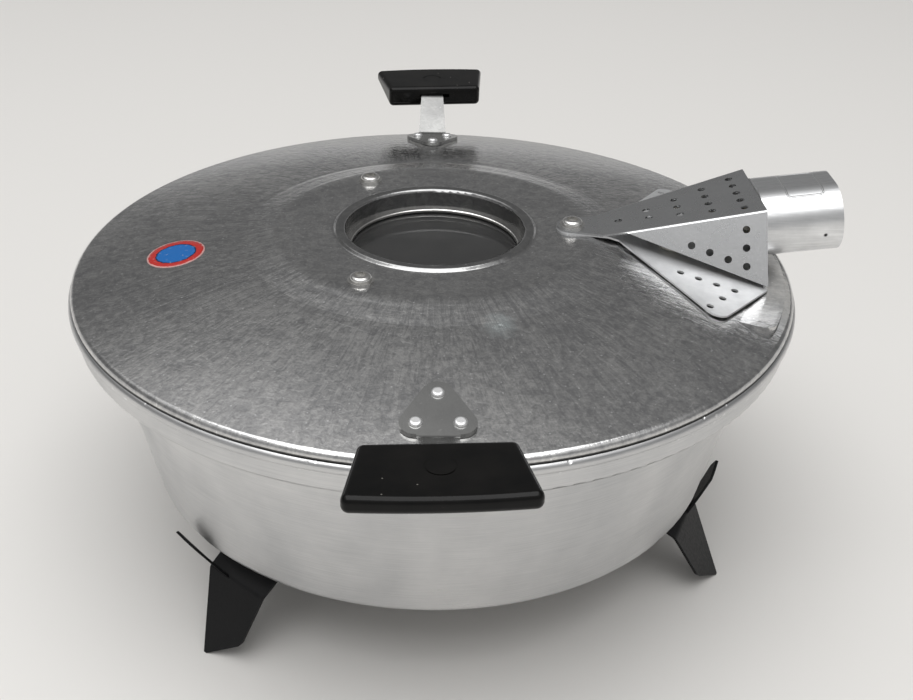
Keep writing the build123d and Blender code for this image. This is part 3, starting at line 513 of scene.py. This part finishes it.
def sticker():
    """A thin round film that follows the dome."""
    rings = 6
    around = 64
    points = []
    for ring in range(rings + 1):
        for k in range(around):
            angle = tau * k / around
            reach = STICKER_RADIUS * min(ring, rings - 1) / (rings - 1)
            x = STICKER_CENTRE.x + reach * cos(angle)
            y = STICKER_CENTRE.y + reach * sin(angle)
            lift = -STICKER_LIFT if ring == rings else STICKER_LIFT
            points.append((x, y, dome_height(x, y) + lift))
    faces = []
    for ring in range(rings):
        for k in range(around):
            after = (k + 1) % around
            low, high = ring * around, (ring + 1) * around
            faces.append((low + k, high + k, high + after, low + after))
    return mesh_piece("round_sticker", points, faces, sticker_film(), "lid")


def dress():
    """Give every CAD node its material."""
    shield = plain_metal("shield_steel", (0.52, 0.525, 0.53), (0.70, 0.705, 0.71), 0.26)
    # A lighter, rougher copy of the shield steel for the lower shield: the lighter colour is painted
    # reflection of the bright light its wings catch.
    lower = plain_metal("lower_shield_steel", (0.64, 0.645, 0.65), (0.85, 0.855, 0.86), 0.50)
    bracket = plain_metal("bracket_aluminium", (0.34, 0.34, 0.335), (0.48, 0.48, 0.47), 0.20)
    plated = plain_metal("plated_steel", (0.48, 0.47, 0.46), (0.68, 0.67, 0.65), 0.33)
    bright = plain_metal("bright_trim", (0.66, 0.65, 0.63), (0.86, 0.85, 0.83), 0.14)
    rivet = plain_metal("rivet_aluminium", (0.78, 0.78, 0.78), (0.92, 0.92, 0.92), 0.38)
    dish = plain_metal("bright_reflector", (0.60, 0.60, 0.60), (0.80, 0.80, 0.80), 0.16)
    brass = plain_metal("pin_brass", (0.60, 0.52, 0.34), (0.78, 0.70, 0.50), 0.28)
    ceramic = soft_stuff("ceramic", (0.72, 0.69, 0.62), (0.88, 0.86, 0.80), 0.35, 300.0, 0.04 * MM)
    rubber = soft_stuff("seal_rubber", (0.02, 0.02, 0.02), (0.05, 0.05, 0.05), 0.6, 500.0, 0.05 * MM)
    sleeve = soft_stuff("lead_sleeve", (0.60, 0.57, 0.50), (0.80, 0.77, 0.70), 0.8, 900.0, 0.10 * MM)
    assign(lid_metal(), "lid_shell")
    assign(pan_metal(), "pan")
    assign(shield, "upper_shield", "inlet_plate")
    assign(lower, "lower_shield")
    assign(shroud_metal(), "inlet_shroud")
    assign(bracket, "front_bracket", "rear_bracket")
    assign(rivet, "front_bracket_rivets", "rear_bracket_rivets")
    assign(bright, "lid_fixings", "window_bezel")
    assign(plated, "glass_retainer", "retainer_rivets", "upper_spacers", "lower_spacers", "fixing_nuts")
    assign(plated, "heater_guard", "terminal_studs", "terminal_nuts", "stand_rivet")
    assign(plated, "front_grip_screw", "rear_grip_screw")
    assign(dish, "reflector")
    assign(sheath_metal(), "heating_element")
    assign(ceramic, "element_saddles", "terminal_bushes", "inlet_insulator")
    assign(brass, "contact_pins")
    assign(moulded_black(), "front_grip", "rear_grip")
    assign(black_paint(), "stand_lower_strip", "stand_upper_strip")
    assign(window_glass(), "window_glass")
    assign(rubber, "window_seal")
    assign(sleeve, "heater_leads")


def camera():
    """The camera, at the photograph's place, aim and focal length."""
    lens = bpy.data.cameras.new("camera")
    lens.sensor_width = SENSOR_WIDTH
    lens.lens = FOCAL_PIXELS / IMAGE_WIDTH * SENSOR_WIDTH
    lens.clip_start = 0.01
    made = bpy.data.objects.new("camera", lens)
    level = Vector((sin(CAMERA_YAW), cos(CAMERA_YAW), 0))
    forward = level * cos(CAMERA_PITCH) - Vector((0, 0, sin(CAMERA_PITCH)))
    side = forward.cross(Vector((0, 0, 1))).normalized()
    top = side.cross(forward)
    right = side * cos(CAMERA_ROLL) + top * sin(CAMERA_ROLL)
    up = top * cos(CAMERA_ROLL) - side * sin(CAMERA_ROLL)
    aim = Matrix((right, up, -forward)).transposed().to_4x4()
    made.matrix_world = Matrix.Translation(CAMERA_PLACE) @ aim
    bpy.context.scene.collection.objects.link(made)
    bpy.context.scene.camera = made


def grade(tree, value, low, high, to_low, to_high):
    """A smooth step between two levels."""
    made = tree.nodes.new("ShaderNodeMapRange")
    made.interpolation_type = "SMOOTHSTEP"
    tree.links.new(value, made.inputs[0])
    for slot, number in enumerate((low, high, to_low, to_high), start=1):
        made.inputs[slot].default_value = number
    return made.outputs[0]


def blend(tree, factor, a, b):
    """A number between two others, each a constant or a node's output."""
    made = tree.nodes.new("ShaderNodeMix")
    for slot, value in ((0, factor), (2, a), (3, b)):
        if isinstance(value, bpy.types.NodeSocket):
            tree.links.new(value, made.inputs[slot])
        else:
            made.inputs[slot].default_value = value
    return made.outputs[0]


def studio():
    """The soft box, and the room as a world of smooth grey levels by direction."""
    lamp = bpy.data.lights.new("soft_box", "AREA")
    lamp.shape = "SQUARE"
    lamp.size = BOX_SIZE
    lamp.energy = BOX_RADIANCE * BOX_SIZE ** 2 * pi
    box = bpy.data.objects.new("soft_box", lamp)
    box.location = BOX_PLACE
    bpy.context.scene.collection.objects.link(box)
    world = bpy.data.worlds.new("room")
    world.use_nodes = True
    tree = world.node_tree
    place = tree.nodes.new("ShaderNodeTexCoord")
    split = tree.nodes.new("ShaderNodeSeparateXYZ")
    tree.links.new(place.outputs["Generated"], split.inputs[0])
    room = grade(tree, split.outputs["Y"], *ROOM_TURN, ROOM_FRONT, ROOM_BACK)
    turned = tree.nodes.new("ShaderNodeVectorMath")
    turned.operation = "DOT_PRODUCT"
    tree.links.new(place.outputs["Generated"], turned.inputs[0])
    turned.inputs[1].default_value = UPPER_SIDE
    upper = grade(tree, turned.outputs["Value"], *UPPER_TURN, UPPER_LIGHT, UPPER_DARK)
    walls = blend(tree, grade(tree, split.outputs["Z"], *UPPER_START, 0.0, 1.0), room, upper)
    level = blend(tree, grade(tree, split.outputs["Z"], *HORIZON_END, 0.0, 1.0), HORIZON_LEVEL, walls)
    tree.links.new(level, tree.nodes["Background"].inputs["Color"])
    bpy.context.scene.world = world


def floor():
    """A plain pale floor."""
    s = Shader("floor", FLOOR_COLOR, 0.7)
    reach = FLOOR_SIZE / 2
    mesh = bpy.data.meshes.new("floor")
    corners = [(-reach, -reach, 0), (reach, -reach, 0), (reach, reach, 0), (-reach, reach, 0)]
    mesh.from_pydata(corners, [], [(0, 1, 2, 3)])
    mesh.materials.append(s.material)
    made = bpy.data.objects.new("floor", mesh)
    bpy.context.scene.collection.objects.link(made)


bpy.context.scene.view_settings.view_transform = "Standard"
dress()
sticker()
camera()
studio()
floor()
